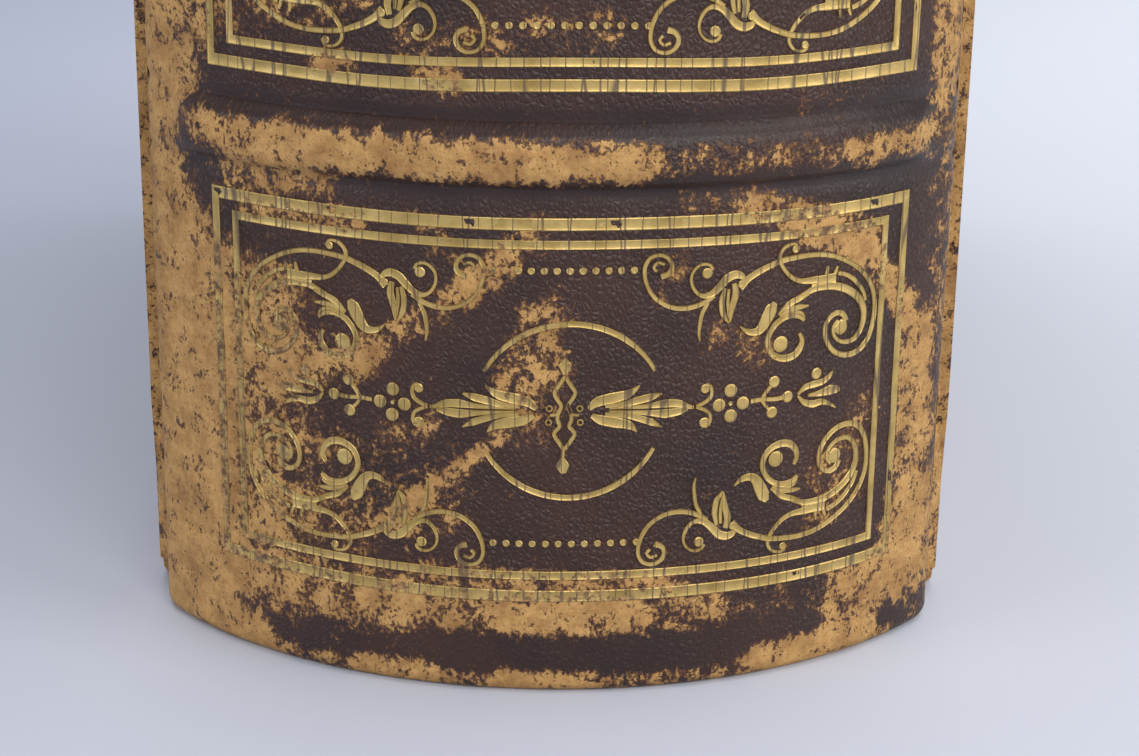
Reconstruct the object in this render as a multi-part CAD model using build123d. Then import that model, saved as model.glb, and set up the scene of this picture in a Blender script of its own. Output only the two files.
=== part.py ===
from build123d import *
import math
import os

# An antique octavo book in a full leather binding, standing upright on its tail edge.
#
# The sewn text block has a rounded and backed spine. It is sewn on raised cords, lined between
# them, and covered with leather that is glued straight to its back, so each cord shows as a raised
# band. Two millboards covered with the same leather hang on the joints, one at each shoulder.
#
# Millimetres. +Z is up, from tail to head. The spine faces -Y and the fore edge +Y. The front cover
# is on +X and the back cover on -X. The origin is on the ground, at the centre of the closed book.

# Overall sizes
book_height = 235.0
book_depth = 156.0        # front of the raised bands to the boards' fore edge
spine_width = 62.0        # over the leather at the shoulders
cover_rise = 1.5          # how far each cover's face stands out beyond the shoulder
square = 3.5              # how far the boards overhang the leaves at head, tail and fore edge

# Spine shape
spine_radius = 39.0       # outer face of the leather between the bands
shoulder_radius = 5.0     # where the spine turns into the joint
shoulder_to_joint = 2.9   # straight side of the spine leather, behind the shoulder
spine_leather_thickness = 1.1
lining_thickness = 0.6    # mull and paper on the back of the leaves
spread_margin = 4.0       # degrees between the shoulder and the ends of linings, cords and endbands

# Raised bands
band_count = 5
tail_band_height = 41.1   # centre of the lowest band, above the tail
head_band_drop = 41.1     # centre of the highest band, below the head
cord_width = 2.2
cord_rise = 1.2           # how far a cord stands above the linings
cord_rounding = 0.9
cord_end_pinch = 0.05     # the leather is this much thicker beyond the ends of a cord
band_rounding = 1.1       # the leather's edges over a cord
band_end_margin = 1.0     # degrees of leather beyond the end of a cord
line_width = 0.9          # blind line pressed into the leather along each edge of a band
line_depth = 0.12
cord_side_clearance = 0.3  # between a lining's edge and the cord beside it

# Caps and endbands
cap_clearance = 0.7       # between the doubled leather of a cap and the ends of the leaves
endband_size = 2.2
endband_rounding = 0.9
endband_clearance = 0.15

# Boards and their leather
board_thickness = 3.2
board_leather_thickness = 0.8
leather_edge_rounding = 0.7
back_corner_depth = 2.5   # the boards' spine-side corners are cut back so that the covers can turn
back_corner_height = 16.0
fore_corner_rounding = 3.0  # the boards' corners at the fore edge, over the leather
turn_in_width = 9.0
paper_thickness = 0.25    # pastedowns and flyleaves
leaf_clearance = 0.35     # between a flyleaf and the pastedown that faces it

# Joints
joint_gap = 0.3           # between the spine leather and the cover leather
board_setback = 0.7       # the board's spine edge lies this far behind its leather
hinge_inset = 0.5         # the leather folds this far under the cover's outer face

# Worked out from the sizes above
front_y = cord_rise - book_depth / 2
arc_centre_y = front_y + spine_radius
shoulder_x = spine_width / 2 - shoulder_radius
centre_distance = spine_radius - shoulder_radius
shoulder_y = arc_centre_y - math.sqrt(centre_distance**2 - shoulder_x**2)
join_angle = math.degrees(math.asin(shoulder_x / centre_distance))
spread_angle = join_angle - spread_margin
joint_y = shoulder_y + shoulder_to_joint
cover_front_y = joint_y + joint_gap
board_front_y = cover_front_y + board_setback
fore_edge_y = book_depth / 2
leaf_fore_y = fore_edge_y - square
cover_x = spine_width / 2 + cover_rise
board_outer_x = cover_x - board_leather_thickness
board_inner_x = board_outer_x - board_thickness
paper_x = board_inner_x - paper_thickness
flyleaf_x = paper_x - leaf_clearance
leaf_x = flyleaf_x - paper_thickness
back_inset = spine_leather_thickness + lining_thickness
back_radius = spine_radius - back_inset
open_edge_y = board_front_y + back_corner_depth
paper_edge_y = fore_edge_y - turn_in_width
paper_top_z = book_height - turn_in_width
leaf_tail_z = square
leaf_head_z = book_height - square
cap_height = square - cap_clearance
cap_thickness = 2 * spine_leather_thickness
band_width = cord_width + 2 * spine_leather_thickness
band_pitch = (book_height - tail_band_height - head_band_drop) / (band_count - 1)
band_heights = [tail_band_height + band_pitch * i for i in range(band_count)]
arc_axis = Axis((0, arc_centre_y, 0), (0, 0, 1))
hinge_x = cover_x - hinge_inset
hinge_y = joint_y + joint_gap / 2


def arc_point(radius, degrees):
    """A point on the spine's arc, at an angle from its front."""
    turn = math.radians(degrees)
    return (radius * math.sin(turn), arc_centre_y - radius * math.cos(turn))


def shoulder_point(radius, degrees):
    turn = math.radians(degrees)
    return (shoulder_x + radius * math.sin(turn), shoulder_y - radius * math.cos(turn))


def mirrored(point):
    return (-point[0], point[1])


def spine_edges(inset):
    """The spine's outline, an even inset inside its outer face, from shoulder to shoulder."""
    radius = spine_radius - inset
    small = shoulder_radius - inset
    join = arc_point(radius, join_angle)
    middle = shoulder_point(small, (join_angle + 90) / 2)
    side = shoulder_point(small, 90)
    return [
        ThreePointArc(mirrored(join), arc_point(radius, 0), join),
        ThreePointArc(join, middle, side),
        ThreePointArc(mirrored(join), mirrored(middle), mirrored(side)),
    ], side


def spine_block(inset, bottom, top):
    """A solid block with the spine's outline in front and a flat back at the joint."""
    edges, side = spine_edges(inset)
    corner = (side[0], joint_y)
    edges += [Line(side, corner), Line(corner, mirrored(corner)), Line(mirrored(corner), mirrored(side))]
    return extrude(Plane.XY.offset(bottom) * make_face(Wire(edges)), top - bottom)


def round_the_spine(profile, half_angle):
    """Turns an upright profile, drawn in front of the arc's axis, about that axis to both sides."""
    start = profile.rotate(arc_axis, -half_angle)
    return revolve(start, arc_axis, 2 * half_angle)


def upright_profile(radius, height):
    """The plane that an upright profile is drawn on: x is outwards from the arc, y is up."""
    return Plane(origin=(0, arc_centre_y - radius, height), x_dir=(0, -1, 0), z_dir=(-1, 0, 0))


def arc_slab(inner_radius, outer_radius, bottom, top, half_angle):
    """A curved slab that follows the spine."""
    place = upright_profile((inner_radius + outer_radius) / 2, (bottom + top) / 2)
    return round_the_spine(place * Rectangle(outer_radius - inner_radius, top - bottom), half_angle)


def rounded_ridge(inner_radius, rise, width, rounding, height, half_angle):
    """A ridge round the spine that is flat behind and rounded in front."""
    half = width / 2
    soft = min(rounding, half * 0.9, rise * 0.9)
    middle = soft * (1 - math.sqrt(0.5))
    upper = [(rise - soft, half), (rise - middle, half - middle), (rise, half - soft)]
    lower = [(x, -y) for x, y in reversed(upper)]
    outline = Wire(
        [
            Line((0, -half), (0, half)),
            Line((0, half), upper[0]),
            ThreePointArc(*upper),
            Line(upper[2], lower[0]),
            ThreePointArc(*lower),
            Line(lower[2], (0, -half)),
        ]
    )
    return round_the_spine(upright_profile(inner_radius, height) * make_face(outline), half_angle)


def sewing_cord(height):
    rise = lining_thickness + cord_rise
    return rounded_ridge(back_radius, rise, cord_width, cord_rounding, height, spread_angle)


def leather_band(height):
    """The leather that rises over one cord. Its foot is sunk in the leather between the bands."""
    foot = spine_radius - spine_leather_thickness / 2
    rise = cord_rise + spine_leather_thickness / 2
    return rounded_ridge(foot, rise, band_width, band_rounding, height, spread_angle + band_end_margin)


def spine_leather():
    """The leather over the spine. It is turned in, and so is doubled, at the two caps."""
    skin = spine_block(0, 0, band_heights[0] - band_width / 2 - line_width)
    for height, next_height in zip(band_heights, band_heights[1:] + [None]):
        low, high = height - band_width / 2, height + band_width / 2
        top = next_height - band_width / 2 - line_width if next_height else book_height
        skin += spine_block(line_depth, low - line_width, low)
        skin += spine_block(0, low, high) + leather_band(height)
        skin += spine_block(line_depth, high, high + line_width)
        skin += spine_block(0, high + line_width, top)
    bottom = cap_height
    for height in band_heights:
        low, high = height - cord_width / 2, height + cord_width / 2
        skin -= spine_block(spine_leather_thickness, bottom, low)
        skin -= spine_block(spine_leather_thickness + cord_end_pinch, low, high)
        skin -= sewing_cord(height)
        bottom = high
    skin -= spine_block(spine_leather_thickness, bottom, book_height - cap_height)
    skin -= spine_block(cap_thickness, -1, book_height + 1)
    return skin


def spine_linings():
    """One lining in each compartment, between the cords."""
    edge = cord_width / 2 + cord_side_clearance
    bottoms = [leaf_tail_z] + [height + edge for height in band_heights]
    tops = [height - edge for height in band_heights] + [leaf_head_z]
    outer = back_radius + lining_thickness
    return [
        arc_slab(back_radius, outer, bottom, top, spread_angle)
        for bottom, top in zip(bottoms, tops)
    ]


def text_block():
    """The leaves. All are cut to one width, so the fore edge is hollow where the back is round."""
    edges, side = spine_edges(back_inset)
    back_edge_y = arc_centre_y - math.sqrt(back_radius**2 - leaf_x**2)
    leaf_width = leaf_fore_y - back_edge_y
    hollow_y = front_y + back_inset + leaf_width
    shoulder_foot = (leaf_x, joint_y)
    fore_corner = (leaf_x, leaf_fore_y)
    edges += [
        Line(side, shoulder_foot),
        Line(shoulder_foot, fore_corner),
        ThreePointArc(fore_corner, (0, hollow_y), mirrored(fore_corner)),
        Line(mirrored(fore_corner), mirrored(shoulder_foot)),
        Line(mirrored(shoulder_foot), mirrored(side)),
    ]
    return extrude(Plane.XY.offset(leaf_tail_z) * make_face(Wire(edges)), leaf_head_z - leaf_tail_z)


def endband(height):
    """A silk-covered core that lies on the end of the leaves, just inside the leather cap."""
    radius = spine_radius - cap_thickness - endband_clearance - endband_size / 2
    soft = min(endband_rounding, endband_size * 0.45)
    profile = upright_profile(radius, height) * RectangleRounded(endband_size, endband_size, soft)
    return round_the_spine(profile, spread_angle)


def slab(x_low, x_high, y_low, y_high, z_low, z_high):
    size = (x_high - x_low, y_high - y_low, z_high - z_low)
    return Pos((x_low + x_high) / 2, (y_low + y_high) / 2, (z_low + z_high) / 2) * Box(*size)


def back_cornered(x_low, x_high, inset):
    """A cover-shaped slab, inset from the leather's outline. Its spine-side corners are cut back."""
    front = cover_front_y + (board_setback if inset else 0)
    cut_y = front + back_corner_depth
    cut_z = inset + back_corner_height
    back = fore_edge_y - inset
    outline = Polyline(
        (front, cut_z),
        (cut_y, inset),
        (back, inset),
        (back, book_height - inset),
        (cut_y, book_height - inset),
        (front, book_height - cut_z),
        close=True,
    )
    place = Plane(origin=(x_low, 0, 0), x_dir=(0, 1, 0), z_dir=(1, 0, 0))
    block = extrude(place * make_face(outline), x_high - x_low)
    fore_corners = block.edges().filter_by(Axis.X).group_by(Axis.Y)[-1]
    return fillet(fore_corners, fore_corner_rounding - inset)


def board():
    return back_cornered(board_inner_x, board_outer_x, board_leather_thickness)


def cover_leather():
    """The leather on one board, turned in over the head, tail and fore edge."""
    skin = back_cornered(paper_x, cover_x, 0)
    outer_edges = skin.faces().sort_by(Axis.X)[-1].edges()
    turned_edges = [edge for edge in outer_edges if edge.center().Y > open_edge_y]
    skin = fillet(turned_edges, min(leather_edge_rounding, board_leather_thickness * 0.9))
    skin -= board()
    skin -= slab(paper_x, board_inner_x, front_y, paper_edge_y, turn_in_width, paper_top_z)
    skin -= slab(paper_x, board_outer_x, front_y, open_edge_y, -1, book_height + 1)
    return skin


def pastedown():
    return slab(paper_x, board_inner_x, board_front_y, paper_edge_y, turn_in_width, paper_top_z)


def flyleaf():
    return slab(leaf_x, flyleaf_x, joint_y, leaf_fore_y, leaf_tail_z, leaf_head_z)


def on_the_back(shape):
    """The same piece for the back cover, on the other side of the book."""
    return shape.mirror(Plane.YZ)


pieces = {
    "text_block": text_block(),
    "spine_leather": spine_leather(),
    "headband": endband(leaf_head_z + endband_size / 2),
    "tailband": endband(leaf_tail_z - endband_size / 2),
}
for number, height in enumerate(band_heights, 1):
    pieces[f"sewing_cord_{number}"] = sewing_cord(height)
for number, lining in enumerate(spine_linings(), 1):
    pieces[f"spine_lining_{number}"] = lining
for name, make in (
    ("board", board),
    ("cover_leather", cover_leather),
    ("pastedown", pastedown),
    ("flyleaf", flyleaf),
):
    pieces[f"front_{name}"] = make()
    pieces[f"back_{name}"] = on_the_back(make())

os.makedirs("parts", exist_ok=True)
for name, shape in pieces.items():
    export_step(shape, f"parts/{name}.step")

print("hinge at x", hinge_x, "y", hinge_y)
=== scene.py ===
import math
import random

import bpy
import numpy as np
from mathutils import Matrix, Vector


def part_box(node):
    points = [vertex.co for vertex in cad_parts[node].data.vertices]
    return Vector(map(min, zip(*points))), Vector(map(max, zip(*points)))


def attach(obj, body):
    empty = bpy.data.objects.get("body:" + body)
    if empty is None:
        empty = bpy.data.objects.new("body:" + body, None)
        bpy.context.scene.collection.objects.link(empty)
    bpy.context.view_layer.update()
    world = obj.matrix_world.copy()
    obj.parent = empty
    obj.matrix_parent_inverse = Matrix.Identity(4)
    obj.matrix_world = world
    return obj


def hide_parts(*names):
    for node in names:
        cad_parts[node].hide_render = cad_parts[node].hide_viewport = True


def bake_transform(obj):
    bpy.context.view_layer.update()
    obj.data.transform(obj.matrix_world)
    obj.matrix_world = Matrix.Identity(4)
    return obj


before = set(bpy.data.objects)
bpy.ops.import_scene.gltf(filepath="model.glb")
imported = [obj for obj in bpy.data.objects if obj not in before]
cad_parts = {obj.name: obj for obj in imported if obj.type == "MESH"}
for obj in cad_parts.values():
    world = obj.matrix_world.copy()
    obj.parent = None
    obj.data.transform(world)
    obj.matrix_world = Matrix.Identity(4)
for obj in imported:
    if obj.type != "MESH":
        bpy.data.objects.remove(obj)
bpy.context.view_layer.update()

mm = 0.001
rng = random.Random(7)

# the spine's section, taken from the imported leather
spineLow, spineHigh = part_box("spine_leather")
boardLow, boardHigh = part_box("front_cover_leather")
spine = {
    "radius": 39.0 * mm,
    "shoulder": 5.0 * mm,
    "bandRise": 1.2 * mm,
    "bandWidth": 4.4 * mm,
    "bands": 5,
    "firstBand": 41.1 * mm,
    "capRadius": 1.1 * mm,
    "leather": 1.1 * mm,
    "lineDepth": 0.12 * mm,
    "lineWidth": 0.9 * mm,
    "bandEnd": 32.5 * mm,       # where each band has died away at the side
    "bandFade": 4.5 * mm,
    "turnIn": 2.8 * mm,         # how far the rolled cap reaches down inside
    "columns": 164,
    "fineRows": 0.36 * mm,      # row height at the tail, and above it
    "plainRows": 0.62 * mm,
    "fineTop": 52 * mm,
    "uneven": 0.05 * mm,
}
halfWidth = spineHigh.x
height = spineHigh.z
frontY = spineLow.y + spine["bandRise"]
jointY = spineHigh.y
pitch = (height - 2 * spine["firstBand"]) / (spine["bands"] - 1)
bandHeights = [spine["firstBand"] + pitch * i for i in range(spine["bands"])]
arcY = frontY + spine["radius"]
shoulderX = halfWidth - spine["shoulder"]
reach = spine["radius"] - spine["shoulder"]
joinAngle = math.asin(shoulderX / reach)
shoulderY = arcY - reach * math.cos(joinAngle)
arcLength = spine["radius"] * joinAngle
shoulderLength = spine["shoulder"] * (math.pi / 2 - joinAngle)
halfLength = arcLength + shoulderLength + (jointY - shoulderY)


def onSpine(s, z, lift):
    # wraps flat leather, s across and z up, round the spine and raises it by lift
    s, z, lift = np.asarray(s, float), np.asarray(z, float), np.asarray(lift, float)
    side, a = np.sign(s), np.abs(s)
    main = a <= arcLength
    turned = joinAngle + np.clip((a - arcLength) / spine["shoulder"], 0, math.pi / 2 - joinAngle)
    angle = np.where(main, a / spine["radius"], turned)
    straight = np.clip(a - arcLength - shoulderLength, 0, None)
    bigR, smallR = spine["radius"] + lift, spine["shoulder"] + lift
    x = np.where(main, bigR * np.sin(angle), shoulderX + smallR * np.sin(angle))
    y = np.where(main, arcY - bigR * np.cos(angle), shoulderY - smallR * np.cos(angle) + straight)
    return np.stack([side * x, y, z], -1)


def smooth(t):
    t = np.clip(t, 0, 1)
    return t * t * (3 - 2 * t)


def bandLift(s, z):
    # the ridge of each raised band and the blind line along each of its edges
    lift = np.zeros_like(z)
    half = spine["bandWidth"] / 2
    fade = smooth((spine["bandEnd"] - np.abs(s)) / spine["bandFade"])
    for centre in bandHeights:
        away = np.abs(z - centre)
        ridge = np.sqrt(np.clip(1 - (away / half) ** 2.6, 0, 1))
        lift = lift + spine["bandRise"] * ridge * fade
        halfLine = spine["lineWidth"] / 2
        line = np.clip(1 - np.abs(away - half - halfLine) / halfLine, 0, 1)
        lift = lift - spine["lineDepth"] * smooth(line * 1.6)
    return lift


# where the tail of the spine is rubbed: from, to, width and strength, in mm on the flat leather
tailRubs = [
    (-38, 0, -38, 52, 7, .75), (-33, 0, -33, 31, 6.5, 1.0), (-29.5, 2, -29, 30, 4.5, .95),
    (-34, 31, -32.5, 56, 3.2, .75), (-25, 10, -22, 26, 5.5, .72), (-24, 27, -22, 30, 3.5, .55),
    (-21, 24, -14, 25.5, 2.1, .66), (-15, 25, -3, 33.5, 1.4, .6), (-6, 31, -1, 36, 1.6, .6),
    (-20, 12, -8, 15, 3.4, .55), (-12, 13, -3.5, 20.5, .9, .8), (-17, 18, -8, 21, 2.0, .45),
    (-2.5, 24, 0, 30, 2.3, .68), (-1, 21, 1, 26, 1.8, .5), (-32, 7, -12, 6.5, 3.2, .72),
    (-12, 6.5, 12, 6.3, 2.0, .72), (-3, 6.6, 6, 6.4, 1.7, .95), (-30, .6, 30, .6, 1.3, .62),
    (-3, .7, 3, .7, 1.5, .9), (17, 1, 27, 1.4, 2.0, 1.0), (-14, 1, -9, 1.2, 1.3, .85),
    (-33, 1.5, -24, 1, 2.6, .95), (25, 4.5, 34, 6, 3.2, .75), (30, 7, 33, 10, 4, .8),
    (14, 7, 27, 6, 2.2, .42), (31, 9, 31.5, 24, 2.6, .8), (36, 0, 36, 52, 5, .6),
    (19.5, 35.5, 25, 33.5, 2.2, .9), (25, 33.5, 32, 25, 2.0, .85), (30.5, 25, 34, 17, 1.8, .6),
    (15, 37, 21, 35.5, 1.5, .72), (12.5, 28, 16, 26, 1.6, .55), (8, 31, 9.5, 33.5, 1.3, .55),
    (-25, 38.2, -17, 38.6, 1.8, .72), (10, 37.8, 16, 37.6, 1.5, .5), (-9, 36, -7, 34, 1.4, .5),
    (-24, 35.6, -14, 35.8, 1.2, .7), (-27, 41.2, -18, 41.1, 1.7, .82), (-20, 41.1, -9, 40.9, 1.9, 1.0),
    (-8, 41, 6, 40.8, 1.8, 1.0), (6, 41, 21, 40.9, 1.5, .56), (23, 40.6, 31, 41, 1.7, .82),
    (-31, 43, -28, 50, 2.6, .66), (-17, 47, -15, 47, 1.3, .7), (-9, 46.8, -7, 46.6, 1.2, .62),
    (-8, 46, -6.5, 46, 1.0, .6), (19, 44, 26, 45, 1.8, .3), (33, 44, 34, 56, 2.4, .66),
    (-24, 50, -14, 52, 2.4, .5), (-10, 49, 4, 50, 1.8, .48), (-10, 9.2, 10, 9.0, 1.2, .72),
    (22, 15, 26, 20, 2.4, .6), (21, 12, 25, 13, 1.5, .5), (12, 12, 14, 20, 1.4, .2),
]


def moreRubs():
    # the compartments above the tail are rubbed in the same way, by chance
    top = height / mm
    rubs = [(-38, 52, -38, top, 7, .7), (38, 52, 38, top, 6, .65), (-34, 56, -33, top, 3, .72),
            (34, 56, 34, top, 2.6, .66), (-32, top - 1, 32, top - 1, 1.6, .8)]
    for n, centre in enumerate(bandHeights):
        z = centre / mm
        if n:
            for start in (-27, -14, -2, 12, 23):
                end, wide = start + rng.uniform(6, 12), rng.uniform(1.5, 1.9)
                rubs.append((start, z, end, z, wide, rng.uniform(.6, 1)))
        for k in range(13):
            s, up = rng.uniform(-31, 29), z + rng.uniform(11, 40)
            turn = rng.choice((.7, .9, -.8, 1.2))
            long = rng.uniform(2, 9)
            rubs.append((s, up, s + long, up + long * turn, rng.uniform(1.1, 2.8), rng.uniform(.4, .78)))
    return rubs


rubMarks = tailRubs + moreRubs()


def rubbed(s, z):
    # how far the dark face of the leather is rubbed away, from 0 to 1
    s, z = np.asarray(s, float) / mm, np.asarray(z, float) / mm
    whole = np.ones_like(s)
    for s0, z0, s1, z1, width, strength in rubMarks:
        ds, dz = s1 - s0, z1 - z0
        t = np.clip(((s - s0) * ds + (z - z0) * dz) / max(ds * ds + dz * dz, 1e-6), 0, 1)
        away = np.hypot(s - s0 - t * ds, z - z0 - t * dz)
        whole = whole * (1 - strength * smooth(1.35 - away / width))
    overall = .27 - .004 * np.clip(s, -30, 30)
    return 1 - whole * (1 - overall)


class Num:
    # a socket that can be added, multiplied and compared like a number
    def __init__(self, look, socket):
        self.look, self.socket = look, socket

    def maths(self, operation, *inputs, clamp=False):
        settings = {"operation": operation, "use_clamp": clamp}
        made = self.look.add("ShaderNodeMath", settings, dict(enumerate(inputs)))
        return Num(self.look, made.outputs[0])

    def __add__(self, other):
        return self.maths("ADD", self, other)

    def __radd__(self, other):
        return self.maths("ADD", other, self)

    def __sub__(self, other):
        return self.maths("SUBTRACT", self, other)

    def __rsub__(self, other):
        return self.maths("SUBTRACT", other, self)

    def __mul__(self, other):
        return self.maths("MULTIPLY", self, other)

    def __rmul__(self, other):
        return self.maths("MULTIPLY", other, self)

    def __abs__(self):
        return self.maths("ABSOLUTE", self)

    def fraction(self):
        return self.maths("FRACT", self)

    def clamp(self):
        return self.maths("ADD", self, 0.0, clamp=True)

    def least(self, other):
        return self.maths("MINIMUM", self, other)

    def most(self, other):
        return self.maths("MAXIMUM", self, other)

    def ramp(self, low, high):
        # 0 at low and below, 1 at high and above
        return ((self - low) * (1 / (high - low))).clamp()


class Look:
    # one material and its nodes
    def __init__(self, name, **fixed):
        self.material = bpy.data.materials.new(name)
        self.material.use_nodes = True
        self.tree = self.material.node_tree
        self.shader = self.tree.nodes["Principled BSDF"]
        for socket, value in fixed.items():
            self.shader.inputs[socket.replace("_", " ")].default_value = value

    def add(self, kind, settings=None, sockets=None):
        made = self.tree.nodes.new(kind)
        for key, value in (settings or {}).items():
            setattr(made, key, value)
        for key, value in (sockets or {}).items():
            self.put(made.inputs[key], value)
        return made

    def put(self, socket, value):
        if isinstance(value, Num):
            self.tree.links.new(value.socket, socket)
        elif isinstance(value, bpy.types.NodeSocket):
            self.tree.links.new(value, socket)
        elif isinstance(value, tuple) and len(value) == 3 and socket.type == "RGBA":
            socket.default_value = (*value, 1)
        else:
            socket.default_value = value

    def place(self):
        return self.add("ShaderNodeTexCoord").outputs["Object"]

    def uv(self, name):
        return self.add("ShaderNodeUVMap", {"uv_map": name}).outputs["UV"]

    def attribute(self, name):
        return Num(self, self.add("ShaderNodeAttribute", {"attribute_name": name}).outputs["Fac"])

    def stretch(self, vector, amount):
        made = self.add("ShaderNodeVectorMath", {"operation": "MULTIPLY"}, {0: vector, 1: amount})
        return made.outputs[0]

    def noise(self, vector, scale, detail=3.0, rough=0.55, warp=0.0):
        sockets = {"Vector": vector, "Scale": scale, "Detail": detail}
        sockets.update({"Roughness": rough, "Distortion": warp})
        return Num(self, self.add("ShaderNodeTexNoise", None, sockets).outputs["Fac"])

    def cells(self, vector, scale, feature="F1", loose=1.0):
        made = self.add("ShaderNodeTexVoronoi", {"feature": feature},
                        {"Vector": vector, "Scale": scale, "Randomness": loose})
        return Num(self, made.outputs["Distance"])

    def split(self, vector):
        made = self.add("ShaderNodeSeparateXYZ", None, {0: vector})
        return [Num(self, made.outputs[n]) for n in range(3)]

    def mix(self, amount, first, second):
        made = self.add("ShaderNodeMix", {"data_type": "RGBA"}, {0: amount, 6: first, 7: second})
        return made.outputs[2]

    def bump(self, height, distance, strength=1.0, under=None):
        sockets = {"Height": height, "Distance": distance, "Strength": strength}
        if under is not None:
            sockets["Normal"] = under
        return self.add("ShaderNodeBump", None, sockets).outputs["Normal"]

    def set(self, **links):
        for socket, value in links.items():
            self.put(self.shader.inputs[socket.replace("_", " ")], value)
        return self.material


# the lightest of the dark tones is a painted highlight for the tops of the grain's pebbles
leatherTones = {
    "dark": (.022, .009, .007), "darkRed": (.044, .016, .010), "pebbleTopHighlight": (.055, .031, .025),
    "edge": (.15, .058, .020), "tan": (.40, .215, .066), "paleTan": (.52, .31, .115),
    "oldTan": (.20, .092, .028),
}


def leatherLook(name, rub, smoothed, where, stretchBy):
    # pebbled morocco, rubbed down to its tan core; rub and smoothed build from the look itself
    look = Look(name, Specular_IOR_Level=.38)
    tones = leatherTones
    spot = where(look)
    grainSpot = look.stretch(spot, stretchBy)
    pebble = look.cells(grainSpot, 2300, "SMOOTH_F1")
    crease = look.cells(grainSpot, 2300, "DISTANCE_TO_EDGE")
    fine = look.noise(spot, 6500, 2, .6)
    patch = look.noise(spot, 620, 8, .74, .4)
    speckle = look.noise(grainSpot, 2600, 4, .7)
    broad = look.noise(spot, 90, 3, .5)
    worn = (patch - .5) * 1.2 + (speckle - .5) * .8 - pebble * .16 + rub(look) * .60 - .362
    bare = worn.ramp(0, .06)
    rim = worn.ramp(-.08, .02)
    plain = smoothed(look)
    dark = look.mix(broad.ramp(.35, .65), tones["dark"], tones["darkRed"])
    # painted highlight: the tops of the grain's pebbles are lightened, leaving the creases between them
    # darker as painted shade
    dark = look.mix((crease.ramp(.10, .45) * fine.ramp(.35, .75) * .4), dark, tones["pebbleTopHighlight"])
    dark = look.mix(plain * .45, dark, (.017, .012, .013))
    tan = look.mix(look.noise(spot, 1500, 4, .7).ramp(.3, .7), tones["tan"], tones["paleTan"])
    tan = look.mix(look.noise(spot, 330, 6, .7).ramp(.42, .66) * .75, tan, tones["oldTan"])
    tan = look.mix(speckle.ramp(.56, .66) * .6, tan, tones["edge"])
    colour = look.mix(rim * .8, dark, tones["edge"])
    colour = look.mix(bare, colour, tan)
    grain = crease.ramp(0, .32) * (1 - plain * .75) * (1 - bare * .72) + fine * .22 - bare * .42
    normal = look.bump(grain, .085 * mm, .9)
    return look.set(Base_Color=colour, Roughness=.40 + bare * .34 + fine * .12 - plain * .08, Normal=normal)


def clearSelection():
    if bpy.context.object and bpy.context.object.mode != "OBJECT":
        bpy.ops.object.mode_set(mode="OBJECT")
    bpy.ops.object.select_all(action="DESELECT")


def flatSheet(name, columns, rows):
    # a flat grid to be wrapped: its corner coordinates run from 0 to 1 both ways
    clearSelection()
    bpy.ops.mesh.primitive_grid_add(x_subdivisions=columns, y_subdivisions=rows, size=1,
                                    location=(.5, .5, 0))
    made = bpy.context.object
    bpy.ops.object.transform_apply(location=True)
    made.name = name
    return made


def readPoints(piece):
    flat = np.zeros(len(piece.data.vertices) * 3)
    piece.data.vertices.foreach_get("co", flat)
    return flat.reshape(-1, 3)


def writePoints(piece, points):
    piece.data.vertices.foreach_set("co", np.asarray(points, float).ravel())
    piece.data.update()


def storeValue(piece, name, values):
    made = piece.data.attributes.new(name, "FLOAT", "POINT")
    made.data.foreach_set("value", np.asarray(values, np.float32).ravel())


def storeFlat(piece, name, points):
    # keeps the flat place of every corner as a UV map, in metres
    layer = piece.data.uv_layers.get(name) or piece.data.uv_layers.new(name=name)
    corner = np.zeros(len(piece.data.loops), int)
    piece.data.loops.foreach_get("vertex_index", corner)
    layer.data.foreach_set("uv", np.asarray(points)[corner][:, :2].astype(np.float32).ravel())


def closeUp(piece):
    clearSelection()
    piece.select_set(True)
    bpy.context.view_layer.objects.active = piece
    bpy.ops.object.mode_set(mode="EDIT")
    bpy.ops.mesh.select_all(action="SELECT")
    bpy.ops.mesh.remove_doubles(threshold=1e-7)
    bpy.ops.mesh.select_all(action="DESELECT")
    bpy.ops.mesh.select_non_manifold(extend=False, use_wire=False, use_multi_face=False,
                                     use_non_contiguous=False, use_verts=False)
    bpy.ops.mesh.edge_face_add()
    bpy.ops.mesh.select_all(action="SELECT")
    bpy.ops.mesh.normals_make_consistent(inside=False)
    bpy.ops.object.mode_set(mode="OBJECT")
    bpy.ops.object.shade_smooth_by_angle(angle=math.radians(50))


def giveMaterial(piece, material):
    piece.data.materials.clear()
    piece.data.materials.append(material)
    return piece


def sleeveProfile():
    # one trip round the leather's edge in lift and height: up the outside, over the head, down inside
    cap, rise = spine["capRadius"], spine["leather"]
    low, high = cap, height - cap
    fine = np.arange(low, spine["fineTop"], spine["fineRows"])
    plain = np.arange(spine["fineTop"], high, spine["plainRows"])
    outer = [*fine, *plain, high]
    path = [(0, z) for z in outer]
    path += [(-cap + cap * math.cos(a), high + cap * math.sin(a)) for a in np.linspace(0, math.pi, 10)[1:]]
    foot = spine["turnIn"]
    inner = [height - foot, height - foot, height / 2, foot, foot, low]
    depth = [-2 * cap, -rise, -rise, -rise, -2 * cap, -2 * cap]
    path += list(zip(depth, inner))
    path += [(-cap - cap * math.cos(a), low - cap * math.sin(a)) for a in np.linspace(0, math.pi, 10)[1:]]
    return np.array(path)


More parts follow.
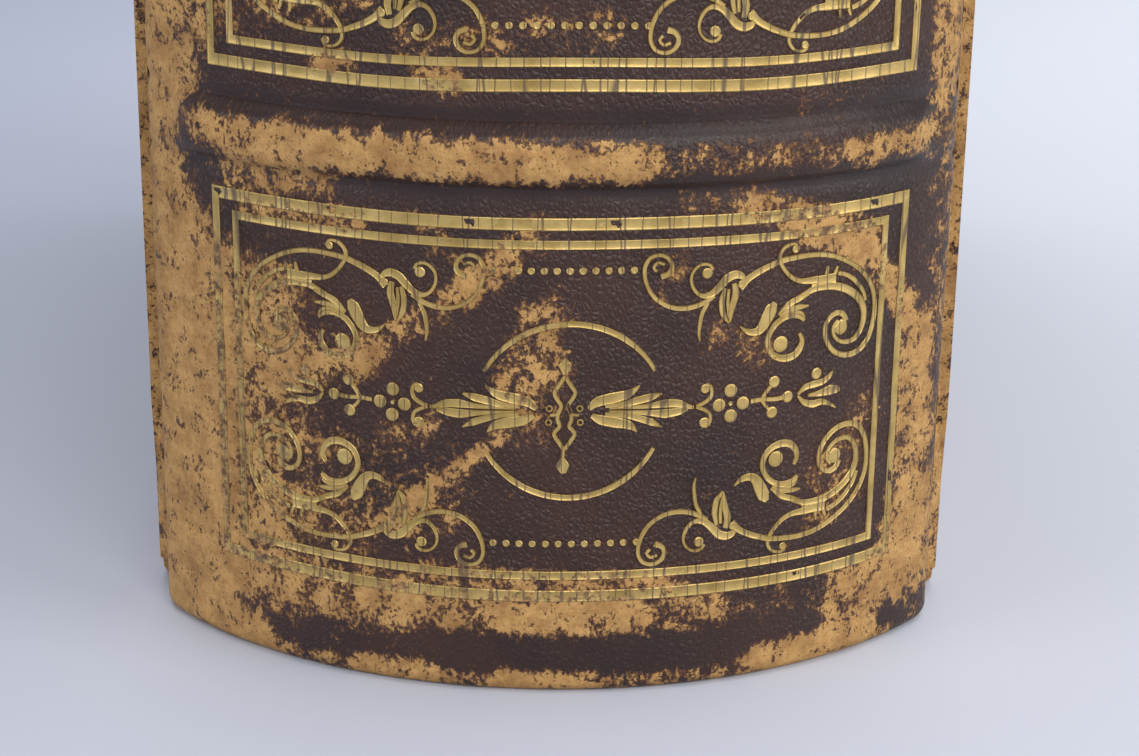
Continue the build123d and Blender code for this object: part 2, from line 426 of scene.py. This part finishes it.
def spineLeather():
    path = sleeveProfile()
    sheet = flatSheet("spineLeather", spine["columns"], len(path) - 1)
    points = readPoints(sheet)
    row = np.rint(points[:, 1] * (len(path) - 1)).astype(int)
    s = (points[:, 0] * 2 - 1) * halfLength
    lift, z = path[row, 0], path[row, 1]
    outside = lift > -.5 * spine["capRadius"]
    lift = lift + np.where(outside, bandLift(s, z), 0)
    bandAway = np.min([np.abs(z - c) for c in bandHeights], axis=0)
    nearBand = smooth((4.0 * mm - bandAway) / (1.0 * mm))
    smoothBand = nearBand * smooth((bandAway - .4 * mm) / (1.4 * mm))
    tailLine = smooth((4.6 * mm - np.abs(z - 2.4 * mm)) / (2.5 * mm)) * .5
    storeFlat(sheet, "flat", np.stack([s, z, z], -1))
    storeValue(sheet, "rub", rubbed(s, z))
    storeValue(sheet, "smoothed", np.clip(smoothBand + tailLine, 0, 1))
    uneven = np.sin(s * 900 + z * 700) * np.sin(z * 510 - s * 300) * spine["uneven"]
    writePoints(sheet, onSpine(s, z, lift + np.where(outside, uneven, 0)))
    closeUp(sheet)
    morocco = leatherLook("spineMorocco", lambda k: k.attribute("rub"), lambda k: k.attribute("smoothed"),
                          lambda k: k.uv("flat"), (1.15, .86, 1))
    giveMaterial(sheet, morocco)
    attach(sheet, "book")
    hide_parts("spine_leather")
    print("spine leather", len(sheet.data.polygons))


spineLeather()


def goldMaterial():
    # old gold leaf on leather: olive, cracked across and rubbed off where the leather is worn
    look = Look("giltTooling", Specular_IOR_Level=.5)
    spot = look.uv("flat")
    along = look.stretch(spot, (1.0, .05, 1.0))
    warp = look.noise(spot, 900, 3, .6)
    crack = look.cells(along, 780, "DISTANCE_TO_EDGE").ramp(.012, .04)
    patch = look.noise(spot, 1300, 5, .7)
    lost = (patch * 1.2 + look.attribute("rub") * .50 - .98).ramp(0, .12)
    shade = look.noise(spot, 420, 4, .6).ramp(.3, .7)
    gold = look.mix(shade, (.34, .23, .068), (.60, .43, .155))
    gold = look.mix(warp.ramp(.62, .75) * .5, gold, (.70, .56, .26))
    dull = look.mix(look.noise(spot, 1500, 4, .7).ramp(.45, .6), (.10, .055, .024), (.36, .20, .075))
    colour = look.mix(lost, look.mix(crack, (.13, .085, .035), gold), dull)
    normal = look.bump(look.noise(spot, 5200, 3, .6) + crack * .5, .03 * mm, .7)
    return look.set(Base_Color=colour, Metallic=crack * (1 - lost) * .7,
                    Roughness=.36 + lost * .35 + warp * .12, Normal=normal)


# the tooling's section, across a line one wide: a shallow tray with burnished lips
trayAcross = (-.5, -.5, -.42, -.30, .30, .42, .5, .5)
trayRaise = (-.10, .05, .09, .045, .045, .09, .05, -.10)


def smoothLine(points, widths, step=.16):
    # a soft curve through the points, evenly spaced, with its width at each place
    points = np.asarray(points, float)
    count = len(points)
    widths = np.interp(np.linspace(0, 1, count), np.linspace(0, 1, len(widths)), widths)
    if count == 2:
        made = [points[0] + (points[1] - points[0]) * t for t in np.linspace(0, 1, 5)]
        return np.array(made), np.interp(np.linspace(0, 1, 5), (0, 1), widths)
    before = np.vstack([2 * points[0] - points[1], points, 2 * points[-1] - points[-2]])
    out, wide = [], []
    for n in range(count - 1):
        a, b, c, d = before[n:n + 4]
        parts = max(2, int(np.linalg.norm(c - b) / step))
        for k in range(parts):
            t = k / parts
            out.append(.5 * (2 * b + (c - a) * t + (2 * a - 5 * b + 4 * c - d) * t * t
                             + (3 * b - a - 3 * c + d) * t ** 3))
            wide.append(widths[n] + (widths[n + 1] - widths[n]) * t)
    out.append(points[-1])
    wide.append(widths[-1])
    return np.array(out), np.array(wide)


def strokeMesh(points, widths, closed=False):
    # corners (across, up, raised) and faces of one tooled line
    if closed:
        line, wide = np.asarray(points, float), np.asarray(widths)
        way = np.roll(line, -1, 0) - np.roll(line, 1, 0)
    else:
        line, wide = smoothLine(points, widths)
        way = np.gradient(line, axis=0)
    way = way / np.maximum(np.linalg.norm(way, axis=1), 1e-9)[:, None]
    side = np.stack([-way[:, 1], way[:, 0]], 1)
    across, raised = np.array(trayAcross), np.array(trayRaise)
    place = line[:, None, :] + side[:, None, :] * (across[None, :, None] * wide[:, None, None])
    up = np.tile(raised, (len(line), 1))
    corners = np.concatenate([place, up[:, :, None]], 2).reshape(-1, 3)
    ring, faces = len(across), []
    last = len(line) if closed else len(line) - 1
    for n in range(last):
        a, b = n * ring, ((n + 1) % len(line)) * ring
        for k in range(ring):
            faces.append((a + k, a + (k + 1) % ring, b + (k + 1) % ring, b + k))
    if not closed:
        faces.append(tuple(range(ring)))
        faces.append(tuple(reversed(range((len(line) - 1) * ring, len(line) * ring))))
    return corners, faces


def dotMesh(centre, radius, sides=12):
    # a low round stud
    rings = ((1.0, -.10), (1.0, .05), (.8, .10), (.45, .07))
    corners, faces = [], []
    for size, up in rings:
        for k in range(sides):
            turn = 2 * math.pi * k / sides
            corners.append((centre[0] + radius * size * math.cos(turn),
                            centre[1] + radius * size * math.sin(turn), up))
    for r in range(len(rings) - 1):
        for k in range(sides):
            a, b = r * sides + k, r * sides + (k + 1) % sides
            faces.append((a, b, b + sides, a + sides))
    faces.append(tuple(reversed(range(sides))))
    faces.append(tuple(range((len(rings) - 1) * sides, len(rings) * sides)))
    return np.array(corners), faces


def frameMesh(u0, u1, z0, z1, wideAcross, wideUp):
    # a straight tooled rectangle with mitred corners, cut finely enough to wrap
    longCuts, shortCuts = 110, 10
    corners, faces, places = [], [], []
    for k in range(longCuts):
        places.append((u0 + (u1 - u0) * k / longCuts, z0, 0, 1))
    for k in range(shortCuts):
        places.append((u1, z0 + (z1 - z0) * k / shortCuts, -1, 0))
    for k in range(longCuts):
        places.append((u1 + (u0 - u1) * k / longCuts, z1, 0, -1))
    for k in range(shortCuts):
        places.append((u0, z1 + (z0 - z1) * k / shortCuts, 1, 0))
    half = longCuts + shortCuts
    mitres = {0: (1, 1), longCuts: (-1, 1), half: (-1, -1), half + longCuts: (1, -1)}
    for n, (u, z, du, dz) in enumerate(places):
        du, dz = mitres.get(n, (du, dz))
        for a, r in zip(trayAcross, trayRaise):
            corners.append((u + du * a * wideUp, z + dz * a * wideAcross, r))
    ring = len(trayAcross)
    for n in range(len(places)):
        a, b = n * ring, ((n + 1) % len(places)) * ring
        for k in range(ring):
            faces.append((a + k, a + (k + 1) % ring, b + (k + 1) % ring, b + k))
    return np.array(corners), faces


# one corner's scroll work, as lines and their widths, in mm on the flat leather of the tail compartment
scrolls = [
    (((14.1, 31.2), (14.7, 31.85), (15.6, 32.35), (16.5, 32.7), (17.3, 32.95), (18.5, 33.1), (20, 33.15),
      (21.5, 32.95), (23, 32.4), (24.5, 31.5), (25.6, 30.4), (26.2, 29.2), (26.35, 28.0), (26.2, 26.9),
      (25.8, 25.9), (25.1, 25.2), (24.2, 24.9), (23.2, 25.0), (22.3, 25.5), (21.7, 26.3), (21.5, 27.2),
      (21.75, 27.95), (22.4, 28.35), (23.1, 28.2), (23.5, 27.6)),
     (.55, .44, .38, .4, .45, .45, .42, .38, .5)),
    (((18.9, 30.0), (19.7, 30.3), (20.5, 30.55), (21.7, 30.55), (22.7, 30.35), (23.7, 29.9), (24.6, 29.2),
      (25.15, 28.3), (25.2, 27.4), (24.9, 26.6), (24.3, 26.05), (23.5, 25.95), (22.8, 26.2), (22.35, 26.7),
      (22.3, 27.3), (22.7, 27.75)), (.3, .5, .6, .62, .55, .4, .34, .3, .4)),
    (((22.5, 31.45), (23.3, 31.2), (24.2, 30.6), (25.0, 29.7), (25.35, 28.9)), (.35, .4, .3)),
    (((20.1, 31.05), (22.3, 31.1)), (.8, .8)), (((21.4, 31.5), (21.5, 32.1)), (.35, .2)),
    (((22.2, 31.5), (22.4, 32.0)), (.35, .2)),
    (((18.85, 33.7), (18.6, 34.1), (18.1, 34.15), (17.6, 33.95), (17.25, 33.5), (17.25, 33.0), (17.5, 32.5),
      (17.95, 31.95), (18.5, 31.5), (19.2, 31.25), (19.9, 31.2), (20.6, 31.2)), (.2, .25, .3, .33, .4, .6)),
    (((17.3, 28.9), (18.2, 29.6), (19.2, 30.0), (19.9, 30.2)), (.2, .5, .45, .2)),
    (((17.4, 28.8), (18.3, 29.2), (19.2, 29.3), (19.9, 29.3)), (.2, .4, .4, .15)),
    (((17.6, 28.7), (18.6, 28.95), (19.3, 28.8), (19.6, 28.4)), (.2, .35, .3, .1)),
    (((19.6, 28.2), (19.0, 28.6), (18.2, 28.7), (17.4, 28.4), (16.8, 27.8), (16.5, 27.0), (16.7, 26.2),
      (17.2, 25.7), (18.0, 25.45), (18.8, 25.6), (19.3, 26.1), (19.45, 26.7), (19.2, 27.25)),
     (.3, .48, .45, .42, .5, .6, .5, .3)),
    (((14.2, 28.3), (14.8, 27.85), (15.5, 27.75), (16.0, 28.1), (16.4, 28.8), (16.7, 29.4), (17.0, 29.85)),
     (.1, .45, .6, .8, 1.0, 1.0, .4)),
    (((12.9, 31.3), (12.7, 30.3), (12.85, 29.3), (13.3, 28.6)), (.3, .45, .45, .1)),
    (((13.6, 31.6), (13.75, 30.8), (13.5, 29.8), (13.35, 28.7)), (.4, .55, .5, .15)),
    (((13.2, 31.2), (13.15, 30.2), (13.25, 29.0)), (.25, .3, .1)),
    (((11.9, 32.7), (11.75, 33.05), (11.3, 33.2), (10.8, 33.05), (10.4, 32.6), (10.3, 32.0), (10.5, 31.4),
      (10.9, 30.95), (11.4, 30.8), (12.0, 31.0), (12.6, 31.55), (13.1, 32.05), (13.7, 32.25), (14.2, 32.1),
      (14.4, 31.8)), (.28, .25, .22, .25, .3, .5, .65, .65, .3)),
    (((12.1, 30.8), (11.6, 30.45), (10.8, 30.1), (9.9, 29.95), (9.0, 30.05), (8.2, 30.4), (7.5, 31.0),
      (7.05, 31.8), (6.85, 32.6), (6.9, 33.3), (7.3, 33.85), (8.0, 34.0), (8.6, 33.7), (8.85, 33.1),
      (8.6, 32.6), (8.05, 32.4)), (.35, .38, .35, .33, .3, .3, .35, .45)),
    (((8.3, 33.3), (7.8, 33.45), (7.5, 33.1), (7.75, 32.8)), (.25, .25)),
    (((11.6, 30.3), (11.2, 29.5), (11.05, 28.7), (11.0, 28.0), (11.1, 27.4)), (.3, .32, .3, .15)),
]
scrollStuds = [((23.0, 27.2), .6), ((18.55, 33.75), .3), ((17.6, 26.6), .62), ((11.5, 32.5), .4),
               ((14.2, 31.5), .3)]

# the spray on each side of the lozenge
sprays = [
    (((3.0, 22.6), (3.6, 23.1), (4.6, 23.35), (5.7, 23.6), (6.3, 23.95), (6.7, 24.3)),
     (.35, .75, .85, .7, .4, .1)),
    (((3.2, 22.1), (3.9, 21.75), (4.9, 21.55), (5.8, 21.35), (6.3, 21.05), (6.55, 20.75)),
     (.35, .75, .85, .7, .4, .1)),
    (((4.2, 22.8), (5.4, 22.85), (6.6, 23.15), (7.5, 23.35), (8.35, 23.6)), (.3, .45, .6, .6, .15)),
    (((4.2, 22.2), (5.4, 22.1), (6.6, 21.8), (7.6, 21.45), (8.4, 21.05)), (.3, .4, .5, .55, .1)),
    (((4.5, 22.6), (6, 22.65), (7.5, 22.7), (8.6, 22.8), (9.6, 22.75), (10.3, 22.5), (10.8, 22.4)),
     (.15, .25, .4, .65, .6, .4, .25)),
    (((4.5, 22.4), (6, 22.3), (7.5, 22.15), (8.6, 22.05), (9.6, 22.15), (10.3, 22.3)),
     (.15, .25, .45, .7, .6, .3)),
    (((11, 22.45), (11.6, 22.7), (12, 23), (12.15, 23.5), (12, 23.95), (11.7, 24.05)), (.3, .3)),
    (((11, 22.4), (11.6, 22.15), (12, 21.85), (12.1, 21.4), (11.95, 21.0), (11.7, 20.85)), (.3, .3)),
    (((15.3, 22.45), (16.2, 22.5), (17.3, 22.4), (18, 22.45)), (.32, .32)),
    (((16.2, 22.5), (16.6, 23.1), (17.1, 23.6)), (.28, .28)),
    (((16.2, 22.4), (16.6, 21.9), (17.0, 21.5)), (.28, .28)),
    (((19.3, 22.4), (19.9, 21.8), (20.7, 21.55), (21.5, 21.6), (22.3, 21.3), (22.9, 20.9)),
     (.2, .5, .6, .5, .35, .1)),
    (((19.3, 22.5), (19.9, 22.95), (20.8, 23.1), (21.6, 23.2), (22.2, 23.6), (22.4, 23.9)),
     (.2, .45, .55, .5, .35, .1)),
    (((20.2, 22.3), (21.3, 22.3), (22.2, 22.4), (22.9, 22.35), (23.2, 22.3)), (.2, .5, .8, .6, .15)),
]
sprayStuds = [((11.65, 23.75), .36), ((11.65, 21.15), .4), ((12.75, 22.4), .5), ((14.65, 22.4), .5),
              ((13.65, 23.45), .5), ((13.7, 21.5), .5), ((13.65, 22.45), .17), ((18.4, 22.45), .45),
              ((17.2, 23.75), .45), ((17.1, 21.4), .45), ((20.9, 23.9), .45)]
lozenge = [
    (((1.25, 26.5), (1.25, 25.9), (1.25, 25.2)), (.1, 1.0, .25)), (((1.2, 19.6), (1.15, 19.0)), (.3, .3)),
    (((1.15, 19.0), (1.15, 18.3), (1.25, 17.7)), (.2, 1.05, .4)),
    (((.8, 22.2), (.2, 22.15)), (.22, .22)), (((1.7, 22.2), (2.3, 22.15)), (.22, .22)),
]
strand = ((1.25, 25.1), (.85, 24.45), (.5, 23.85), (.75, 23.3), (1.0, 22.85), (.8, 22.3), (.75, 21.8),
          (.9, 21.3), (.5, 20.75), (.85, 20.1), (1.2, 19.55))
lozengeRings = ((.15, 22.65), (2.35, 22.65), (.1, 21.6), (2.4, 21.6))

# the rest of a compartment's tooling, in mm on the flat leather
tooling = {
    "axis": 1.1,                  # the ornament is the same on both sides of this line
    "middle": 22.15,
    "lozengeAxis": 1.25,
    "outerFrame": (-26.95, 29.2, 7.95, 36.35, .9, .74),
    "innerFrame": (-24.9, 27.05, 9.6, 34.85, .66, .62),
    "dots": 12,
    "dotRadius": .27,
    "dotRows": ((-4.0, 10.1, 32.95), (-3.9, 10.6, 12.15)),
    "arcRadius": 7.1,
    "arcAxis": 1.6,
    "arcTurn": 61,
    "arcMiddles": ((21.9, 1), (22.9, -1)),
    "bare": 4,                    # the compartment, counted from the tail, that has its frame only
}


def flipAcross(points):
    return [(2 * tooling["axis"] - u, z) for u, z in points]


def flipUp(points):
    return [(u, 2 * tooling["middle"] - z) for u, z in points]


def fourCorners(points):
    return points, flipAcross(points), flipUp(points), flipUp(flipAcross(points))


def scrollShapes():
    shapes = []
    for points, widths in scrolls:
        shapes += [strokeMesh(placed, widths) for placed in fourCorners(points)]
    for centre, radius in scrollStuds:
        shapes += [dotMesh(placed[0], radius) for placed in fourCorners([centre])]
    return shapes


def sprayShapes():
    shapes = []
    for points, widths in sprays:
        shapes += [strokeMesh(points, widths), strokeMesh(flipAcross(points), widths)]
    for centre, radius in sprayStuds:
        shapes += [dotMesh(centre, radius), dotMesh(flipAcross([centre])[0], radius)]
    return shapes


def lozengeShapes():
    shapes = [strokeMesh(points, widths) for points, widths in lozenge]
    mirrored = [(2 * tooling["lozengeAxis"] - u, z) for u, z in strand]
    shapes += [strokeMesh(strand, (.3, .3)), strokeMesh(mirrored, (.3, .3))]
    for centre in lozengeRings:
        turn = np.linspace(0, 2 * math.pi, 17)[:-1]
        ring = [(centre[0] + .2 * math.cos(t), centre[1] + .2 * math.sin(t)) for t in turn]
        shapes.append(strokeMesh(ring, [.12] * 16, closed=True))
    return shapes


def dotShapes():
    shapes = []
    for n in range(tooling["dots"]):
        for left, across, z in tooling["dotRows"]:
            shapes.append(dotMesh((left + across * n / (tooling["dots"] - 1), z), tooling["dotRadius"]))
    return shapes


def arcShapes():
    shapes = []
    axis, radius = tooling["arcAxis"], tooling["arcRadius"]
    for middle, way in tooling["arcMiddles"]:
        turn = np.radians(np.linspace(-tooling["arcTurn"], tooling["arcTurn"], 15))
        arc = [(axis + radius * math.sin(t), middle + way * radius * math.cos(t)) for t in turn]
        shapes.append(strokeMesh(arc, (.3, .45, .45, .45, .3)))
    return shapes


def tooledShapes(full):
    # every line and stud of one compartment, as mesh corners and faces
    frames = [frameMesh(*tooling["outerFrame"]), frameMesh(*tooling["innerFrame"])]
    if not full:
        return frames
    return frames + scrollShapes() + sprayShapes() + lozengeShapes() + dotShapes() + arcShapes()


def compartmentTooling(number, material):
    corners, faces, count = [], [], 0
    for n, (points, sides) in enumerate(tooledShapes(number != tooling["bare"])):
        # lines pressed over one another sit at slightly different heights
        points[:, 2] += (n % 7) * .004
        corners.append(points)
        faces += [tuple(k + count for k in side) for side in sides]
        count += len(points)
    corners = np.vstack(corners)
    s, z = corners[:, 0] * mm, corners[:, 1] * mm + pitch * number
    wobble = .12 * mm * np.sin(s * 230 + number) + .08 * mm * np.sin(z * 310 + 2 * number)
    z = z + wobble * (.3 if number == 0 else 1)
    mesh = bpy.data.meshes.new(f"tooling{number}")
    mesh.from_pydata([(0, 0, 0)] * len(corners), [], faces)
    piece = bpy.data.objects.new(f"tooling{number}", mesh)
    bpy.context.collection.objects.link(piece)
    storeFlat(piece, "flat", np.stack([s, z, z], -1))
    storeValue(piece, "rub", rubbed(s, z))
    writePoints(piece, onSpine(s, z, corners[:, 2] * mm))
    clearSelection()
    piece.select_set(True)
    bpy.context.view_layer.objects.active = piece
    bpy.ops.object.mode_set(mode="EDIT")
    bpy.ops.mesh.select_all(action="SELECT")
    bpy.ops.mesh.normals_make_consistent(inside=False)
    bpy.ops.object.mode_set(mode="OBJECT")
    bpy.ops.object.shade_smooth_by_angle(angle=math.radians(40))
    giveMaterial(piece, material)
    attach(piece, "book")


oldGold = goldMaterial()
for number in range(spine["bands"] + 1):
    compartmentTooling(number, oldGold)
print("gold tooling")


covers = {
    "wear": .30,
    "endWear": 12 * mm,
    "foreWear": 10 * mm,
    "hingeWear": 9 * mm,
    "fillets": ((9 * mm, .7 * mm), (11.6 * mm, .45 * mm)),    # distance from the edge and half width
}


def coverRub(look):
    # the covers are worn along their edges and corners
    y, z = look.split(look.place())[1:]
    ends = z.ramp(covers["endWear"], 0).most(z.ramp(height - covers["endWear"], height))
    fore = y.ramp(boardHigh.y - covers["foreWear"], boardHigh.y)
    hinge = y.ramp(boardLow.y + covers["hingeWear"], boardLow.y)
    return covers["wear"] + ends.most(fore).most(hinge) * .62 + ends * fore * .4


def coverLines(look):
    # two blind fillets, smooth and dark, inside the borders of each cover
    y, z = look.split(look.place())[1:]
    inside = z.least(height - z).least(boardHigh.y - y).least(y - boardLow.y)
    first, second = [(1 - abs(inside - away) * (1 / half)).clamp() for away, half in covers["fillets"]]
    return (first.most(second) * 2).clamp()


coverLook = leatherLook("coverMorocco", coverRub, coverLines, lambda k: k.place(), (1, 1, 1))


def plainLook(name, low, high, scale, rough, grain=.03, stretchBy=(1, 1, 1)):
    look = Look(name)
    spot = look.stretch(look.place(), stretchBy)
    tone = look.noise(spot, scale, 5, .62)
    fine = look.noise(spot, scale * 9, 3, .6)
    colour = look.mix((tone * .7 + fine * .3).ramp(.32, .68), low, high)
    return look.set(Base_Color=colour, Roughness=rough + fine * .12, Normal=look.bump(fine, grain * mm, .7))


def leavesLook():
    # the edges of the leaves: fine lines side by side, aged cream, dusty at the head
    look = Look("leafEdges", Specular_IOR_Level=.3)
    spot = look.place()
    line = look.noise(look.stretch(spot, (1, .018, .018)), 3600, 2, .7)
    bundle = look.noise(look.stretch(spot, (1, .03, .03)), 500, 3, .6)
    stain = look.noise(spot, 42, 5, .6)
    dust = look.split(spot)[2].ramp(height - 9 * mm, height - 3 * mm)
    colour = look.mix(line.ramp(.3, .7), (.30, .20, .105), (.62, .49, .31))
    colour = look.mix(bundle.ramp(.5, .75) * .5, colour, (.25, .155, .08))
    colour = look.mix(stain.ramp(.48, .72) * .55, colour, (.27, .16, .075))
    colour = look.mix(dust * .5, colour, (.17, .13, .095))
    normal = look.bump(line + bundle, .12 * mm, .8)
    return look.set(Base_Color=colour, Roughness=.78 + line * .1, Normal=normal)


def endpaperLook(name):
    # plain aged paper, browned towards its borders by the leather turned in beneath
    look = Look(name, Specular_IOR_Level=.25)
    spot = look.place()
    y, z = look.split(spot)[1:]
    edge = z.ramp(20 * mm, 5 * mm).most(z.ramp(height - 20 * mm, height - 5 * mm))
    edge = edge.most(y.ramp(boardHigh.y - 22 * mm, boardHigh.y - 5 * mm))
    tone = look.noise(spot, 60, 5, .6)
    fleck = look.noise(spot, 900, 4, .7)
    colour = look.mix(tone.ramp(.3, .7), (.60, .48, .32), (.69, .58, .42))
    colour = look.mix(edge * tone.ramp(.2, .7) * .75, colour, (.33, .20, .10))
    colour = look.mix(fleck.ramp(.64, .72) * .5, colour, (.34, .21, .11))
    return look.set(Base_Color=colour, Roughness=.8 + fleck * .1, Normal=look.bump(fleck, .04 * mm, .6))


leaves, paper = leavesLook(), endpaperLook("endpaperAged")
board = plainLook("millboard", (.22, .17, .12), (.34, .27, .19), 300, .82, .05)
lining = plainLook("liningPaper", (.40, .31, .20), (.54, .44, .30), 500, .82)
hemp = plainLook("hempCord", (.34, .25, .15), (.52, .41, .26), 1600, .85, .08, (.4, 1, 1))
finishes = {
    "text_block": leaves, "_board": board, "cover_leather": coverLook, "pastedown": paper, "flyleaf": paper,
    "lining": lining, "cord": hemp,
}
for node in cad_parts:
    for word, finish in finishes.items():
        if word in node:
            giveMaterial(bpy.data.objects[node], finish)


def silkLook():
    look = Look("endbandSilk", Specular_IOR_Level=.4, Sheen_Weight=.3)
    stripe = look.attribute("wrap").fraction().ramp(.45, .55)
    thread = look.noise(look.place(), 5000, 3, .6)
    colour = look.mix(stripe, (.35, .26, .14), (.17, .035, .028))
    colour = look.mix(thread.ramp(.4, .7) * .4, colour, (.12, .07, .04))
    return look.set(Base_Color=colour, Roughness=.6 + thread * .15, Normal=look.bump(thread, .04 * mm, .6))


endbands = {
    "columns": 240,
    "around": 16,
    "ribColumns": 4,        # columns to a rib, and to a coloured stripe
    "stripeColumns": 8,
    "ribDepth": .07,
    "endSetback": .3 * mm,
    "fill": .93,            # how much of the CAD piece's height the core takes
}


def endband(node, material):
    # silk wound over a core, following the curve of the CAD piece from side to side
    source = bpy.data.objects[node]
    points = np.array([source.matrix_world @ v.co for v in source.data.vertices])
    low, high = points.min(0), points.max(0)
    thick, middle = (high[2] - low[2]) / 2, (high[2] + low[2]) / 2
    count = endbands["columns"]
    spots = np.linspace(low[0] + endbands["endSetback"], high[0] - endbands["endSetback"], count + 1)
    line = []
    for x in spots:
        near = points[np.abs(points[:, 0] - x) < 2.6 * mm]
        line.append(near[:, 1].mean() if len(near) else low[1])
    line = np.convolve(np.pad(line, 12, "edge"), np.ones(25) / 25, "valid")
    sheet = flatSheet(node + "Silk", count, endbands["around"])
    grid = readPoints(sheet)
    column = np.rint(grid[:, 0] * count).astype(int)
    turn = grid[:, 1] * 2 * math.pi
    rib = 1 + endbands["ribDepth"] * np.cos(column * 2 * math.pi / endbands["ribColumns"])
    end = np.sqrt(np.clip(1 - np.abs(grid[:, 0] * 2 - 1) ** 40, .0004, 1))
    radius = thick * endbands["fill"] * rib * end
    slope = np.gradient(line, spots)[column]
    length = np.sqrt(1 + slope ** 2)
    x = spots[column] - slope / length * radius * np.cos(turn)
    y = line[column] + radius * np.cos(turn) / length
    storeValue(sheet, "wrap", column / endbands["stripeColumns"] + grid[:, 1] * .5)
    writePoints(sheet, np.stack([x, y, middle + radius * np.sin(turn)], -1))
    closeUp(sheet)
    giveMaterial(sheet, material)
    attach(sheet, "book")
    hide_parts(node)


silk = silkLook()
endband("headband", silk)
endband("tailband", silk)


joints = {
    # outwards from the spine's side and back from the joint, in mm
    "path": ((.05, -3), (.2, -.5), (.9, .5), (1.5, 1.2), (1.55, 2.8)),
    "thickness": .35 * mm,
    "rows": 150,
    "endGap": 2.0 * mm,
    "rise": 1.5 * mm,
    "bendFrom": -.8 * mm,
    "bendTo": 1.6 * mm,
}


def jointStrip(side, cover):
    # the leather of the joint, a thin strip along the side of the spine
    path = [(halfWidth / mm + out, jointY / mm + back) for out, back in joints["path"]]
    line = smoothLine(path, (1, 1), .3)[0] * mm
    columns = len(line) * 2 - 1
    sheet = flatSheet("joint" + cover, columns, joints["rows"])
    grid = readPoints(sheet)
    column = np.rint(grid[:, 0] * columns).astype(int)
    way = np.gradient(line, axis=0)
    way = way / np.linalg.norm(way, axis=1)[:, None]
    inward = np.stack([-way[:, 1], way[:, 0]], 1) * joints["thickness"]
    around = np.vstack([line, (line + inward)[::-1]])
    z = joints["endGap"] + grid[:, 1] * (height - 2 * joints["endGap"])
    x, y = around[column, 0], around[column, 1]
    writePoints(sheet, np.stack([side * x, y, z], -1))
    closeUp(sheet)
    giveMaterial(sheet, coverLook)
    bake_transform(sheet)


jointStrip(1, "front_cover")
jointStrip(-1, "back_cover")
print("covers, leaves, endbands and joints")


def linear(value):
    value = value / 255
    return value / 12.92 if value <= .04 else ((value + .055) / 1.055) ** 2.4


def colourOf(red, green, blue):
    return linear(red), linear(green), linear(blue)


studio = {
    "floorSize": 6,
    # the floor's colours hold painted shade on the left and painted light on the right
    "leftShadedTone": (158, 163, 183),
    "rightLitTone": (214, 217, 224),
    "sky": (.86, .88, .92, 1),
    "skyStrength": .40,
    # name, place, aim, size, power and colour of each soft light
    "lights": (
        ("above", (.1, .15, 1.0), (0, -.05, .05), (1.3, .8), 9, (.93, .96, 1.0)),
        ("front", (.25, -1.1, .75), (0, -.08, .05), (.9, .6), 10, (1.0, .97, .93)),
        ("left", (-.9, -.5, .35), (0, -.08, .05), (.5, .6), 3.0, (.92, .95, 1.0)),
        ("right", (.9, -.45, .4), (0, -.08, .05), (.5, .6), 4.5, (1.0, .98, .95)),
    ),
}


def paleFloor():
    clearSelection()
    bpy.ops.mesh.primitive_plane_add(size=studio["floorSize"], location=(0, 1.2, 0))
    floor = bpy.context.object
    floor.name = "floor"
    look = Look("paleFloor", Specular_IOR_Level=.12, Roughness=.75)
    # painted shade and light: the floor is coloured darker on its left and lighter on its right, as light
    # falls off across it
    across = look.split(look.place())[0].ramp(-.16, .16)
    speck = look.noise(look.place(), 30, 2, .5)
    colour = look.mix(across, colourOf(*studio["leftShadedTone"]), colourOf(*studio["rightLitTone"]))
    giveMaterial(floor, look.set(Base_Color=look.mix(speck * .04, colour, (.6, .6, .65))))


def softLight(name, place, aim, size, power, colour):
    data = bpy.data.lights.new(name, "AREA")
    data.shape, data.size, data.size_y = "RECTANGLE", size[0], size[1]
    data.energy, data.color = power, colour
    made = bpy.data.objects.new(name, data)
    bpy.context.collection.objects.link(made)
    made.location = place
    made.rotation_euler = (Vector(aim) - Vector(place)).to_track_quat("-Z", "Y").to_euler()


def sky():
    world = bpy.data.worlds.new("studio")
    world.use_nodes = True
    background = world.node_tree.nodes["Background"]
    background.inputs["Color"].default_value = studio["sky"]
    background.inputs["Strength"].default_value = studio["skyStrength"]
    bpy.context.scene.world = world


# the camera looks down on the foot of the spine
view = {
    "place": (1.41 * mm, -233.46 * mm, 75.27 * mm),
    "down": math.radians(17.79),
    "yaw": math.radians(.06),
    "roll": math.radians(.82),
    "lens": 72.25,
    "sensor": 36,
}


def camera():
    down, yaw, roll = view["down"], view["yaw"], view["roll"]
    right = Vector((math.cos(yaw), -math.sin(yaw), 0))
    ahead = Vector((math.sin(yaw) * math.cos(down), math.cos(yaw) * math.cos(down), -math.sin(down)))
    up = right.cross(ahead)
    across = right * math.cos(roll) + up * math.sin(roll)
    above = up * math.cos(roll) - right * math.sin(roll)
    data = bpy.data.cameras.new("camera")
    data.lens, data.sensor_width, data.clip_start = view["lens"], view["sensor"], .005
    made = bpy.data.objects.new("camera", data)
    bpy.context.collection.objects.link(made)
    turned = Matrix((across, above, -ahead)).transposed().to_4x4()
    made.matrix_world = Matrix.Translation(view["place"]) @ turned
    bpy.context.scene.camera = made
    bpy.context.scene.view_settings.view_transform = "Standard"


paleFloor()
for light in studio["lights"]:
    softLight(*light)
sky()
camera()
print("stage")
